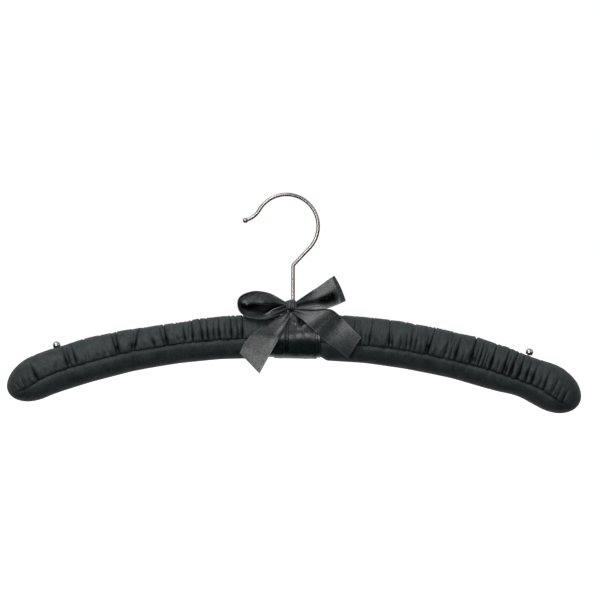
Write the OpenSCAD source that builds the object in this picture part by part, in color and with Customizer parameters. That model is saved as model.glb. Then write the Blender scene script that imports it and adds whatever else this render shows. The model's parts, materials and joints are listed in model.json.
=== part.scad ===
// Padded satin clothes hanger with a swivel hook, strap studs and a ribbon bow.
// Millimetres. +Z up, +X along the arms, -Y is the front. The origin is the rail saddle:
// the inner top of the hook, where the hanger hangs on its rail.

/* [Hook] */
// Diameter of the hook wire
wire_d = 2.8; // [2.4:0.1:3.2]
// Radius of the hook's round part, at the middle of the wire
hook_r = 23.7; // [22:0.1:26]
// Distance from the middle of the hook's round part to the swivel axis
hook_offset = 4.9; // [3:0.1:7]
// Angle of the slanting stretch from the vertical
slant = 43.6; // [40:0.2:48]
// Radius of the bend between the slanting stretch and the shank
neck_bend_r = 4; // [3:0.5:6]
// Where the round part ends and the lead-in lip starts, from +X
lip_start = 150; // [145:1:155]
// Radius of the lead-in lip
lip_r = 15; // [12:1:18]
// Angle that the lead-in lip turns through
lip_turn = 38; // [30:1:44]
// Diameter of the ball on the hook's end
ball_d = 4.1; // [3.6:0.1:5]

/* [Swivel] */
// Outer diameter of the bush
bush_d = 6; // [5:0.5:7]
// Play between the wire and the bush, on the radius
swivel_play = 0.05; // [0.02:0.01:0.1]
// Diameter of the bush's flange
flange_d = 8.6; // [8:0.2:9]
// Diameter of the thrust washer
washer_d = 9; // [8:0.2:9.4]

/* [Arms] */
// How far the arms hang out of level, the right one lower, in degrees
arm_tilt = 1; // [0:0.1:1.5]
// Width over both arm tips
span = 430; // [410:5:440]
// Half of the straight stretch at the middle
flat_half = 15; // [12:1:18]
// Radius of each arm's curve, at its middle line
bend_r = 480; // [460:10:560]
// Height of the padded left arm
left_h = 31; // [30:0.5:33]
// Height of the padded right arm
right_h = 33; // [30:0.5:34]
// Depth of the padded arms, front to back
arm_depth = 29; // [27:0.5:31]
// Length of the rounded tip
tip_len = 25; // [22:1:28]
// How much shorter the left arm is than the right one
left_short = 3; // [0:0.5:4]
// How far the ribbons pull the middle in
waist_in = 2; // [1.8:0.1:2.4]

/* [Core] */
// Height of the wooden core
core_h = 18; // [17:0.5:20]
// Thickness of the wooden core
core_t = 12; // [10:0.5:14]

/* [Cover] */
// Thickness of the satin with its lining
cover_t = 0.6; // [0.4:0.1:0.8]
// How far the left arm's seam lies below the middle of its side, in degrees round the section
left_seam = 4; // [0:1:12]
// How far the right arm's seam lies below the middle of its side, in degrees round the section
right_seam = 12; // [0:1:16]
// How much further the seams drop at the arms' tips, in degrees
seam_drop = 16; // [0:1:20]
// Diameter of the seam thread
thread_d = 0.7; // [0.5:0.1:0.8]

/* [Studs] */
// Distance of each strap stud from the swivel axis
stud_x = 171; // [165:1:176]
// Diameter of a stud's head
stud_d = 6; // [5:0.5:7]
// Diameter of a stud's nail
nail_d = 1.8; // [1.4:0.1:2.2]
// Length of a stud's nail below the cover
nail_len = 20; // [16:1:22]

/* [Ribbon] */
// Thickness of the bow's ribbon
ribbon_t = 0.8; // [0.6:0.1:1]
// Left edge of the outer wrap
wrap_left = -14; // [-16:1:-12]
// Right edge of the outer wrap
wrap_right = 18; // [16:1:19]
// Left edge of the under band
band_left = -19.5; // [-21:0.5:-18]
// Right edge of the under band
band_right = 21; // [20:0.5:22]

/* [Hidden] */
$fn = 48;

satin = "#24292a";
ribbon_satin = "#2b3032";
wadding = "#e8e6df";
steel = "#8f8680";

wire_r = wire_d / 2;
hook_z = wire_r - hook_r;                    // middle of the hook's round part
slant_start = [hook_r * cos(slant), hook_z - hook_r * sin(slant)];
slant_run = slant_start[0] - hook_offset;    // sideways, to the shank's axis
corner_z = slant_start[1] - slant_run / tan(slant);
corner_cut = neck_bend_r * tan(slant / 2);   // from the corner to where its bend starts
mid_z = corner_z - 53.7;                     // middle line of the arms at the centre
core_top = mid_z + core_h / 2;
knot_z = mid_z + 23.6;
stitch_d = 0.6;
stitch_out = 0.35;
flange_h = 1;
collar_h = 2.4;
collar_d = 6;
seat_depth = 5;                              // counterbore under the core
seat_d = 10;
washer_h = 0.8;
bend_swell = 0.02;                           // the wire swells this much where it is bent
head_h = 1.6;
head_d = 6.4;
play = 0.1;                                  // axial gap between stacked swivel pieces
core_bottom = mid_z - core_h / 2;
washer_top = core_bottom + seat_depth - play;
head_top = washer_top - washer_h - play;

arm_turn = asin((span / 2 - flat_half) / bend_r);
arm_len = flat_half + bend_r * arm_turn * PI / 180;
core_end = arm_len - tip_len + 2;            // where the core's round nose is centred
seam_drop_len = 40;                          // over this last stretch
pad_start = 5;                               // padding stops here, clear of the swivel
cover_start = 2.5;
waist_from = 20;
waist_to = 27;
layer_gap = 0.35;
seam_gap = 1.6;                              // degrees from the seam line to a panel's edge
stud_s = flat_half + bend_r * asin((stud_x - flat_half) / bend_r) * PI / 180;

function side_h(side) = side < 0 ? left_h : right_h;
function side_len(side) = side < 0 ? arm_len - left_short : arm_len;
function seam_at(side, s) =
    (side < 0 ? left_seam : right_seam) + seam_drop * smooth(1 - (side_len(side) - s) / seam_drop_len);
middle_h = (left_h + right_h) / 2 - 2 * waist_in;
middle_d = arm_depth - 2 * waist_in;
function smooth(t) = let(u = min(max(t, 0), 1)) u * u * (3 - 2 * u);

// Middle line of an arm: how far it has turned, and its place, at s along it
function turn(s) = s <= flat_half ? 0 : (s - flat_half) / bend_r * 180 / PI;
function mid_x(s) = s <= flat_half ? s : flat_half + bend_r * sin(turn(s));
function mid_drop(s) = s <= flat_half ? 0 : bend_r * (1 - cos(turn(s)));

// Share of the full section left at s, on a surface set in by inset
function tip_share(side, s, inset) =
    let(t = (s - side_len(side) + tip_len) / (tip_len - inset)) t <= 0 ? 1 : sqrt(max(0, 1 - t * t));
function full(s) = smooth((s - waist_from) / (waist_to - waist_from));
function half_h(side, s, inset) =
    (middle_h / 2 + (side_h(side) - middle_h) / 2 * full(s) - inset) * tip_share(side, s, inset);
function half_d(side, s, inset) =
    (middle_d / 2 + (arm_depth - middle_d) / 2 * full(s) - inset) * tip_share(side, s, inset);

// A point at s on an arm: a is 0 at the front, 90 at the top and 180 at the back
function on_arm(side, s, inset, a) =
    let(t = turn(s), n = half_h(side, s, inset) * sin(a))
    [mid_x(s) + n * sin(t), -half_d(side, s, inset) * cos(a), mid_z - mid_drop(s) + n * cos(t)];

// Stations along an arm, closer together at the waist's edge and round the tip
function stations(side, from, inset, steps = 14, tip_steps = 7, last = 86) =
    let(
        straight = side_len(side) - tip_len,
        waist_mid = (waist_from + waist_to) / 2,
        even = [for (i = [0 : steps - 1]) waist_to + (straight - waist_to) * i / steps]
    )
    concat(
        [from],
        [for (s = concat([flat_half, waist_from, waist_mid], even)) if (s > from) s],
        [for (i = [0 : tip_steps]) straight + (tip_len - inset) * sin(last * i / tip_steps)]
    );

function flat_list(lists) = [for (l = lists) for (p = l) p];

// Closed skin over rings of points, each ring with the same count
module skin(rings, closed = false) {
    n = len(rings);
    m = len(rings[0]);
    sides = [
        for (i = [0 : n - (closed ? 1 : 2)]) for (j = [0 : m - 1])
            let(k = (i + 1) % n, q = (j + 1) % m)
            each [[i * m + j, k * m + j, k * m + q], [i * m + j, k * m + q, i * m + q]]
    ];
    caps = closed ? [] : [
        [for (j = [0 : m - 1]) j],
        [for (j = [m - 1 : -1 : 0]) (n - 1) * m + j]
    ];
    polyhedron(flat_list(rings), concat(sides, caps));
}

// Thick sheet between an outer and an inner grid of points
module thick_sheet(outer, inner) {
    n = len(outer);
    m = len(outer[0]);
    skip = n * m;
    quads = concat(
        [for (i = [0 : n - 2]) for (j = [0 : m - 2])
            [i * m + j, (i + 1) * m + j, (i + 1) * m + j + 1, i * m + j + 1]],
        [for (i = [0 : n - 2]) for (j = [0 : m - 2])
            [skip + i * m + j, skip + i * m + j + 1, skip + (i + 1) * m + j + 1, skip + (i + 1) * m + j]],
        [for (i = [0 : n - 2]) [i * m, skip + i * m, skip + (i + 1) * m, (i + 1) * m]],
        [for (i = [0 : n - 2])
            [i * m + m - 1, (i + 1) * m + m - 1, skip + (i + 1) * m + m - 1, skip + i * m + m - 1]],
        [for (j = [0 : m - 2]) [j, j + 1, skip + j + 1, skip + j]],
        [for (j = [0 : m - 2])
            [(n - 1) * m + j, skip + (n - 1) * m + j, skip + (n - 1) * m + j + 1, (n - 1) * m + j + 1]]
    );
    triangles = [for (q = quads) each [[q[0], q[1], q[2]], [q[0], q[2], q[3]]]];
    polyhedron(concat(flat_list(outer), flat_list(inner)), triangles);
}

// Round tube along a list of points in space
module tube(path, r, sides = 6) {
    last = len(path) - 1;
    skin([
        for (i = [0 : last])
            let(
                along = unit(path[min(i + 1, last)] - path[max(i - 1, 0)]),
                across = unit(cross(along, [0.31, 0.17, 0.94])),
                up = cross(across, along)
            )
            [for (k = [0 : sides - 1]) path[i] + r * (cos(360 * k / sides) * across + sin(360 * k / sides) * up)]
    ]);
}

function unit(v) = v / norm(v);

// Smooth curve through points, with each point a list of numbers
function curve_at(p, i, t) =
    let(
        a = p[max(i - 1, 0)], b = p[i], c = p[i + 1], d = p[min(i + 2, len(p) - 1)]
    )
    0.5 * (2 * b + (c - a) * t + (2 * a - 5 * b + 4 * c - d) * t * t + (3 * b - a - 3 * c + d) * t * t * t);
function curve(p, steps = 3) = concat(
    [for (i = [0 : len(p) - 2]) for (k = [0 : steps - 1]) curve_at(p, i, k / steps)],
    [p[len(p) - 1]]
);

// Ribbon between two edges, each a list of points
module ribbon(near_edge, far_edge, t = ribbon_t) {
    a = curve(near_edge);
    b = curve(far_edge);
    last = len(a) - 1;
    skin([
        for (i = [0 : last])
            let(
                along = a[min(i + 1, last)] + b[min(i + 1, last)] - a[max(i - 1, 0)] - b[max(i - 1, 0)],
                face = unit(cross(along, b[i] - a[i])) * t / 2
            )
            [a[i] - face, b[i] - face, b[i] + face, a[i] + face]
    ]);
}

// Everything but the hook's round part is drawn about the swivel axis and moved here
module on_axis() {
    translate([hook_offset, 0, 0]) children();
}

// What is fixed to the arms is drawn level and tilted with them here
module on_arms() {
    on_axis() translate([0, 0, mid_z]) rotate([0, arm_tilt, 0]) translate([0, 0, -mid_z]) children();
}

// The right arm as drawn, or its mirror image for the left arm
module arm_side(side) {
    on_arms() mirror([side < 0 ? 1 : 0, 0, 0]) children();
}

// An arc of the hook wire about [x, z], from one angle to another
module wire_arc(x, z, r, from, to) {
    translate([x, 0, z]) rotate([90, 0, 0]) rotate([0, 0, from])
        rotate_extrude(angle = to - from) translate([r, 0]) circle(r = wire_r);
}

module wire_rod(from, to) {
    v = to - from;
    translate(from) rotate([0, acos(v[2] / norm(v)), atan2(v[1], v[0])])
        cylinder(h = norm(v), r = wire_r);
}

// Bent steel wire with a ball on its end and a peened head below the core
module hook() {
    bend_x = hook_offset + neck_bend_r;
    bend_z = corner_z - corner_cut;
    rod_end = [hook_offset + corner_cut * sin(slant), 0, corner_z + corner_cut * cos(slant)];
    lip_x = (hook_r + lip_r) * cos(lip_start);
    lip_z = hook_z + (hook_r + lip_r) * sin(lip_start);
    lip_to = lip_start + 180 - lip_turn;
    tip = [lip_x + lip_r * cos(lip_to), 0, lip_z + lip_r * sin(lip_to)];
    lip_way = [sin(lip_to), 0, -cos(lip_to)];
    ball_at = tip + 3 * lip_way;
    rod_start = [slant_start[0], 0, slant_start[1]];
    lip_joint = [hook_r * cos(lip_start), 0, hook_z + hook_r * sin(lip_start)];
    color(steel) union() {
        wire_arc(0, hook_z, hook_r, -slant, lip_start);
        wire_arc(lip_x, lip_z, lip_r, lip_to, lip_start + 180);
        wire_rod(tip, ball_at);
        translate(ball_at) sphere(d = ball_d);
        wire_rod(rod_end, rod_start);
        wire_arc(bend_x, bend_z, neck_bend_r, 180 - slant, 180);
        translate([hook_offset, 0, head_top]) cylinder(h = bend_z - head_top, r = wire_r);
        translate([hook_offset, 0, head_top - head_h]) cylinder(h = head_h, r = head_d / 2);
        for (at = [lip_joint, tip, rod_start, rod_end, [hook_offset, 0, bend_z]])
            translate(at) sphere(r = wire_r + bend_swell);
    }
}

// Collar crimped on the wire, which stops it from sliding down through the bush
module stop_collar() {
    color(steel) on_axis() translate([0, 0, core_top + flange_h + play]) difference() {
        cylinder(h = collar_h, d = collar_d);
        translate([0, 0, -1]) cylinder(h = collar_h + 2, r = wire_r);
    }
}

// Washer between the peened head and the core
module thrust_washer() {
    color(steel) on_axis() translate([0, 0, washer_top - washer_h]) difference() {
        cylinder(h = washer_h, d = washer_d);
        translate([0, 0, -1]) cylinder(h = washer_h + 2, r = wire_r + swivel_play);
    }
}

// Flanged brass bush pressed into the core, in which the hook turns
module swivel_bush() {
    seat_top = core_bottom + seat_depth;
    color("goldenrod") on_axis() difference() {
        union() {
            translate([0, 0, seat_top]) cylinder(h = core_top - seat_top, d = bush_d);
            translate([0, 0, core_top]) cylinder(h = flange_h, d = flange_d);
        }
        translate([0, 0, seat_top - 1]) cylinder(h = core_h + 2, r = wire_r + swivel_play);
    }
}

// Outline of one half of the core, right side, in its own plane
module core_half() {
    core_turn = turn(core_end);
    reach = 2 * bend_r;
    translate([-0.01, mid_z - core_h / 2]) square([flat_half + 0.02, core_h]);
    translate([flat_half, mid_z - bend_r]) {
        intersection() {
            difference() {
                circle(r = bend_r + core_h / 2);
                circle(r = bend_r - core_h / 2);
            }
            polygon([[0, 0], [0, reach], [reach * sin(core_turn), reach * cos(core_turn)]]);
        }
        translate([bend_r * sin(core_turn), bend_r * cos(core_turn)]) circle(r = core_h / 2);
    }
}

module stud_place() {
    translate([mid_x(stud_s), 0, mid_z - mid_drop(stud_s)]) rotate([0, turn(stud_s), 0]) children();
}

// Curved bar cut from board, drilled for the bush, the washer and the studs' nails
module wooden_core() {
    color("burlywood") difference() {
        on_arms() translate([0, core_t / 2, 0]) rotate([90, 0, 0]) linear_extrude(core_t) {
            core_half();
            mirror([1, 0]) core_half();
        }
        on_axis() translate([0, 0, core_top]) cylinder(h = flange_h, d = flange_d + 1);
        on_axis() translate([0, 0, core_bottom - 1]) cylinder(h = core_h + 2, d = bush_d);
        on_axis() translate([0, 0, core_bottom - 1]) cylinder(h = seat_depth + 1, d = seat_d);
        for (side = [-1, 1]) arm_side(side) nail_hole(side);
    }
}

module nail_hole(side) {
    stud_place() translate([0, 0, side_h(side) / 2 - nail_len]) cylinder(h = nail_len + 6, d = nail_d);
}

// Sleeve of wadding over one half of the core, with a cavity that fits it
module padding(side) {
    inset = cover_t + layer_gap;
    steps = 20;
    outside = [
        for (s = stations(side, pad_start, inset))
            [for (k = [0 : steps - 1]) on_arm(side, s, inset, 360 * k / steps)]
    ];
    room_h = core_h / 2 + layer_gap;
    room_d = core_t / 2 + layer_gap;
    room_end = core_end + room_h;
    room_steps = 16;
    room = [
        for (i = [0 : room_steps])
            let(s = pad_start - 1 + (room_end - pad_start + 1) * i / room_steps, t = turn(s))
            [for (c = [[-1, -1], [1, -1], [1, 1], [-1, 1]])
                [mid_x(s) + c[1] * room_h * sin(t), c[0] * room_d, mid_z - mid_drop(s) + c[1] * room_h * cos(t)]]
    ];
    color(wadding) arm_side(side) difference() {
        skin(outside);
        skin(room);
        nail_hole(side);
    }
}

// One panel of the cover, this many degrees from the seam: over the top, or round the bottom
module panel(side, over_top) {
    steps = 12;
    way = over_top ? 1 : -1;
    function grid(inset) = [
        for (s = stations(side, cover_start, inset, last = 87))
            let(edge = way * seam_at(side, s) - seam_gap)
            [for (k = [0 : steps]) on_arm(side, s, inset, -way * (edge - (180 + 2 * edge) * k / steps))]
    ];
    if (over_top) thick_sheet(grid(0), grid(cover_t));
    else thick_sheet(grid(cover_t), grid(0));
}

// Gathered panel over the top of the arm
module gathered_cover(side) {
    color(satin) arm_side(side) difference() {
        panel(side, true);
        nail_hole(side);
    }
}

// Plain panel round the bottom of the arm
module plain_cover(side) {
    color(satin) arm_side(side) panel(side, false);
}

// Sewing thread in the seam: along the front, round the tip and back along the other side
module seam_thread(side) {
    along = stations(side, waist_to, cover_t / 2, last = 82);
    front = [for (s = along) on_arm(side, s, cover_t / 2, -seam_at(side, s))];
    back = [
        for (i = [len(along) - 1 : -1 : 0]) on_arm(side, along[i], cover_t / 2, 180 + seam_at(side, along[i]))
    ];
    color(ribbon_satin) arm_side(side) tube(concat(front, back), thread_d / 2, 5);
}

// Hand stitches that join the two covers under the ribbons, clear of the shank
module joining_stitches() {
    count = 11;
    reach = 4;
    color(wadding) on_arms() for (k = [0 : count - 1])
        translate(on_arm(-1, 0, -stitch_out, 90 + 360 * (k + 0.5) / count) - [reach, 0, 0])
            rotate([0, 90, 0]) cylinder(h = 2 * reach, d = stitch_d);
}

// Ball-headed stud that keeps shoulder straps on the arm
module strap_stud(side) {
    top = side_h(side) / 2;
    sunk = 0.7;
    color("silver") arm_side(side) stud_place() {
        difference() {
            translate([0, 0, top + stud_d / 2 - sunk]) sphere(d = stud_d);
            translate([0, 0, top + layer_gap - stud_d]) cylinder(h = stud_d, d = 2 * stud_d);
        }
        translate([0, 0, top - nail_len]) cylinder(h = nail_len + 1, d = nail_d);
    }
}

// Ribbon right round the middle, between two widths and two heights above the cover
module round_ribbon(left, right, inner, outer) {
    steps = 28;
    function at(x, out, a) = on_arm(-1, 0, -out, a) + [x, 0, 0];
    color(ribbon_satin) difference() {
        on_arms() skin([
            for (k = [0 : steps - 1])
                let(a = 360 * k / steps)
                [at(left, inner, a), at(right, inner, a), at(right, outer, a), at(left, outer, a)]
        ], closed = true);
        on_axis() translate([0, 0, mid_z]) cylinder(h = arm_depth, d = wire_d + 1.6);
    }
}

module under_band() {
    round_ribbon(band_left, band_right, 0.8, 1.3);
}

module ribbon_wrap() {
    round_ribbon(wrap_left, wrap_right, 1.5, 2.1);
}

// Knot in front of the shank
module bow_knot() {
    size = [4.4, 2.7, 4.8];
    sides = 14;
    levels = 8;
    function soft(v) = sign(v) * pow(abs(v), 0.7);
    color(ribbon_satin) on_axis() translate([-1.3, -6.5, knot_z]) skin([
        for (i = [0 : levels])
            let(a = -84 + 168 * i / levels)
            [for (k = [0 : sides - 1])
                let(b = 360 * k / sides)
                [size[0] * soft(cos(b)) * soft(cos(a)), size[1] * soft(sin(b)) * soft(cos(a)), size[2] * sin(a)]]
    ]);
}

// Turn of ribbon that ties the bow to the shank, loose enough for the hook to turn in it
module shank_turn() {
    height = 6;
    color(ribbon_satin) on_axis() translate([0, 0, knot_z - height / 2]) difference() {
        cylinder(h = height, d = wire_d + 3.6);
        translate([0, 0, -1]) cylinder(h = height + 2, d = wire_d + 1.2);
    }
}

// Edges of the bow's ribbons: x from the swivel axis, y, and z above the arms' middle line
module bow_piece(near_edge, far_edge) {
    lift = [0, 0, mid_z];
    color(ribbon_satin) on_axis()
        ribbon([for (p = near_edge) p + lift], [for (p = far_edge) p + lift]);
}

module bow_loop_left() {
    bow_piece(
        [[-6, -8.6, 19.8], [-12, -11, 16.4], [-21.5, -14, 13.8], [-29, -14.2, 14.4], [-36, -13, 16.2],
         [-40.4, -11.6, 20.6], [-41.4, -10.4, 27], [-38.8, -9.8, 31.4], [-33, -9.2, 34], [-26.6, -8.6, 34.8],
         [-18, -7.6, 33.2], [-11, -6.2, 29.8], [-6, -5, 26.4]],
        [[-6, -8.2, 24.2], [-13, -8.8, 21.8], [-20.5, -8, 18.2], [-27, 0, 20], [-32, 3.6, 21.4],
         [-35.4, 6.2, 22.2], [-36.2, 7.4, 22], [-34, 7.8, 19.8], [-30, 7.6, 17.8], [-24, 6.6, 17],
         [-17, 4.6, 17.4], [-11, 0.4, 19.4], [-6, -3.6, 22.4]]
    );
}

module bow_loop_right() {
    bow_piece(
        [[3.6, -8.4, 21.2], [13, -12, 21.2], [24, -14, 21.8], [33, -13.8, 24.8], [38.6, -10, 27.2],
         [33, -5.4, 25], [24, -4, 22.6], [13, -4.2, 21.8], [3.8, -5, 21.6]],
        [[3.6, -7, 27.2], [13, -11, 34.2], [22.6, -12.4, 40.2], [27.8, -12.4, 44], [30.4, -9.4, 46],
         [27, -6, 43.6], [20, -4.4, 38.6], [12, -4.4, 33], [3.8, -4.6, 26.8]]
    );
}

module bow_tail_left() {
    bow_piece(
        [[-6, -9, 18.8], [-11, -10.8, 14.8], [-18.5, -13.4, 10], [-27.5, -16.2, 5], [-34.2, -17.4, -1.2],
         [-37.4, -17.6, -6.2], [-39.7, -17.6, -11.3]],
        [[-2.6, -10, 16.6], [-4.5, -12.6, 11], [-7.5, -15.6, 5], [-11, -17.4, -1.8], [-15.5, -17.8, -9.8],
         [-20, -17.6, -17.6], [-24.9, -17, -26.6]]
    );
}

module bow_tail_right() {
    bow_piece(
        [[3.6, -8.8, 18.6], [12, -10, 20.2], [20, -12, 20.6], [28.4, -13.8, 20.2], [35.4, -15.4, 15.6],
         [43, -16.8, 8.2], [51, -17.4, 0.3]],
        [[0.8, -10.2, 16.2], [7, -13.6, 13.2], [12.5, -16.4, 8.4], [18.5, -18.2, 2.4], [25, -18.6, -3.4],
         [32.5, -18.4, -8.8], [40.8, -17.8, -15.6]]
    );
}

hook();
stop_collar();
thrust_washer();
swivel_bush();
wooden_core();
padding(-1);  // padding_left
padding(1);  // padding_right
gathered_cover(-1);  // gathered_cover_left
gathered_cover(1);  // gathered_cover_right
plain_cover(-1);  // plain_cover_left
plain_cover(1);  // plain_cover_right
seam_thread(-1);  // seam_thread_left
seam_thread(1);  // seam_thread_right
joining_stitches();
strap_stud(-1);  // strap_stud_left
strap_stud(1);  // strap_stud_right
under_band();
ribbon_wrap();
shank_turn();
bow_knot();
bow_loop_left();
bow_loop_right();
bow_tail_left();
bow_tail_right();
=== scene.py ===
import json
import math
import random

import bmesh
import bpy
from mathutils import Matrix, Vector, noise


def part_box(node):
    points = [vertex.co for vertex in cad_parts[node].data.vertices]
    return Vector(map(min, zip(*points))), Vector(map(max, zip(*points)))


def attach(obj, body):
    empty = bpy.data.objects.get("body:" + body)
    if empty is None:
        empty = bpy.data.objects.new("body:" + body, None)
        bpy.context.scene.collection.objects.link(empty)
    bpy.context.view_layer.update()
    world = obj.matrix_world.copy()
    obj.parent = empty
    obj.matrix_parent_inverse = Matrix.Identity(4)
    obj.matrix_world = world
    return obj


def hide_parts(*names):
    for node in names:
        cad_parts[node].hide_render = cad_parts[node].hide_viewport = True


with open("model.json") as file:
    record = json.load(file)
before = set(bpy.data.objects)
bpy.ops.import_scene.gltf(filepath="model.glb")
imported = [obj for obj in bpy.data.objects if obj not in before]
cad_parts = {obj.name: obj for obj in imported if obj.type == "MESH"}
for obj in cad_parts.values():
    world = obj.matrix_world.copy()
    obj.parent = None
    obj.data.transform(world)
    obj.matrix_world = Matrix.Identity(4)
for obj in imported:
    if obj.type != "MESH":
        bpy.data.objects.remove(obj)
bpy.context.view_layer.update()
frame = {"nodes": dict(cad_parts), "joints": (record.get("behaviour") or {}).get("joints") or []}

nodes = frame["nodes"]
mm = 0.001
scene = bpy.context.scene

# the arms' shape, the same as the solids'
arm = {
    "tilt": 1.0,                # degrees, the right arm hangs lower
    "flatHalf": 15 * mm,
    "bendRadius": 480 * mm,
    "span": 430 * mm,
    "tipLength": 25 * mm,
    "depth": 29 * mm,
    "height": {"left": 31 * mm, "right": 33 * mm},
    "waistIn": 2 * mm,
    "waistFrom": 20 * mm,
    "waistTo": 27 * mm,
    "seam": {"left": 4, "right": 12},          # degrees below the middle of the front
    "seamDrop": 16,                            # and how much further at the tip
    "seamDropLength": 40 * mm,
    "seamWander": 1.3,                         # degrees either way
    "leftShort": 3 * mm,
    "tipDroop": 1.8 * mm,
}
swivelX = frame["joints"][0]["pos_m"][0]
bushRise = 10 * mm                # the bush's flange stands this far above the arms' middle line
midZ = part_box("swivel_bush")[1].z - bushRise
centre = Vector((swivelX, 0, midZ))
armTilt = Matrix.Rotation(math.radians(arm["tilt"]), 3, "Y")
armTurn = math.asin((arm["span"] / 2 - arm["flatHalf"]) / arm["bendRadius"])
rightLength = arm["flatHalf"] + arm["bendRadius"] * armTurn
armLength = {"left": rightLength - arm["leftShort"], "right": rightLength}
middleHeight = sum(arm["height"].values()) / 2 - 2 * arm["waistIn"]
middleDepth = arm["depth"] - 2 * arm["waistIn"]


def smooth(t):
    t = min(max(t, 0), 1)
    return t * t * (3 - 2 * t)


def mix(a, b, t):
    return a + (b - a) * t


def hump(x, at, width):
    return math.exp(-(((x - at) / width) ** 2))


def place(point, tilted=True):
    # from the arms' own axes to the frame
    return centre + (armTilt @ point if tilted else point)


def tipShare(side, s):
    t = (s - armLength[side]) / arm["tipLength"] + 1
    return 1 if t <= 0 else math.sqrt(max(0, 1 - t * t))


def onArm(side, s, out, angle):
    # a point on the padded section at s along the arm: angle 0 is the front, 90 the top
    full = smooth((s - arm["waistFrom"]) / (arm["waistTo"] - arm["waistFrom"]))
    turn = max(s - arm["flatHalf"], 0) / arm["bendRadius"]
    x = min(s, arm["flatHalf"]) + arm["bendRadius"] * math.sin(turn)
    drop = arm["bendRadius"] * (1 - math.cos(turn))
    share = tipShare(side, s)
    drop += arm["tipDroop"] * smooth(1 - (armLength[side] - s) / (1.3 * arm["tipLength"]))
    high = (mix(middleHeight, arm["height"][side], full) / 2 + out) * share * math.sin(math.radians(angle))
    deep = (mix(middleDepth, arm["depth"], full) / 2 + out) * share * math.cos(math.radians(angle))
    point = Vector((x + high * math.sin(turn), -deep, high * math.cos(turn) - drop))
    if side == "left":
        point.x = -point.x
    return place(point)


def onMiddle(side, s, y, rise):
    # a point beside the arm's middle line, square to it
    turn = max(s - arm["flatHalf"], 0) / arm["bendRadius"]
    x = min(s, arm["flatHalf"]) + (arm["bendRadius"] + rise) * math.sin(turn)
    point = Vector((x, y, (arm["bendRadius"] + rise) * math.cos(turn) - arm["bendRadius"]))
    if side == "left":
        point.x = -point.x
    return place(point)


def seamAngle(side, s):
    wander = arm["seamWander"] * noise.noise(Vector((s * 60, 0.5, 2.0 if side == "left" else 5.0)))
    drop = arm["seamDrop"] * smooth(1 - (armLength[side] - s) / arm["seamDropLength"])
    return arm["seam"][side] + wander * smooth(s / (30 * mm)) + drop


def toPiece(bm, name):
    mesh = bpy.data.meshes.new(name)
    bm.to_mesh(mesh)
    bm.free()
    piece = bpy.data.objects.new(name, mesh)
    scene.collection.objects.link(piece)
    for face in mesh.polygons:
        face.use_smooth = True
    return piece


def gridSheet(name, columns, rows, where, size, closed=False, flip=False, paintedShade=None):
    # a flat grid bent to where(u, v); its UV map and its distance from the long edges are in metres.
    # the last argument gives how much painted shade each point takes: its depth in a fold on the covers, and
    # an amount laid over the hollows on the wrap and the bow; the cloth's material darkens the colour by it
    bm = bmesh.new()
    bmesh.ops.create_grid(bm, x_segments=columns, y_segments=rows, size=0.5)
    uvMap = bm.loops.layers.uv.new("cloth")
    fromEdge = bm.verts.layers.float.new("fromEdge")
    paintedFoldShade = bm.verts.layers.float.new("paintedFoldShade")
    for vert in bm.verts:
        vert[fromEdge] = (0.5 - abs(vert.co.y)) * size[1]
        vert[paintedFoldShade] = paintedShade(vert.co.x + 0.5, vert.co.y + 0.5) if paintedShade else 0
    for face in bm.faces:
        for loop in face.loops:
            loop[uvMap].uv = ((loop.vert.co.x + 0.5) * size[0], (loop.vert.co.y + 0.5) * size[1])
    for vert in bm.verts:
        vert.co = where(vert.co.x + 0.5, vert.co.y + 0.5)
    bmesh.ops.remove_doubles(bm, verts=bm.verts, dist=0.02 * mm)
    if closed:
        bmesh.ops.recalc_face_normals(bm, faces=bm.faces)
    if flip:
        bmesh.ops.reverse_faces(bm, faces=bm.faces)
    return toPiece(bm, name)


def thicken(piece, thickness, offset=0.0, levels=0):
    if levels:
        smoother = piece.modifiers.new("smoother", "SUBSURF")
        smoother.levels = smoother.render_levels = levels
    wall = piece.modifiers.new("wall", "SOLIDIFY")
    wall.thickness = thickness
    wall.offset = offset
    wall.use_quality_normals = True


def finish(piece, material, replaced=(), body="padded_body"):
    piece.data.materials.append(material)
    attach(piece, body)
    if replaced:
        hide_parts(*replaced)


def curvePoint(points, t):
    # a smooth curve through the points, t from 0 to 1
    f = min(max(t, 0), 1) * (len(points) - 1)
    i = min(int(f), len(points) - 2)
    f -= i
    a, b, c, d = (points[min(max(i + k, 0), len(points) - 1)] for k in (-1, 0, 1, 2))
    squared = (2 * a - 5 * b + 4 * c - d) * f * f
    cubed = (3 * b - a - 3 * c + d) * f ** 3
    return 0.5 * (2 * b + (c - a) * f + squared + cubed)


# ---- materials


def newMaterial(name):
    material = bpy.data.materials.new(name)
    material.use_nodes = True
    tree = material.node_tree
    shader = tree.nodes["Principled BSDF"]
    return material, tree, shader


def addNode(tree, kind, **values):
    node = tree.nodes.new(kind)
    for key, value in values.items():
        if key in node.inputs:
            node.inputs[key].default_value = value
        else:
            setattr(node, key, value)
    return node


def colourRamp(tree, factor, stops):
    ramp = tree.nodes.new("ShaderNodeValToRGB")
    ramp.color_ramp.elements[0].position, ramp.color_ramp.elements[0].color = stops[0]
    ramp.color_ramp.elements[1].position, ramp.color_ramp.elements[1].color = stops[-1]
    for position, colour in stops[1:-1]:
        ramp.color_ramp.elements.new(position).color = colour
    tree.links.new(factor, ramp.inputs["Fac"])
    return ramp.outputs["Color"]


def mapped(tree, coords, scale):
    mapping = addNode(tree, "ShaderNodeMapping")
    mapping.inputs["Scale"].default_value = scale
    tree.links.new(coords, mapping.inputs["Vector"])
    return mapping.outputs["Vector"]


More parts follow.
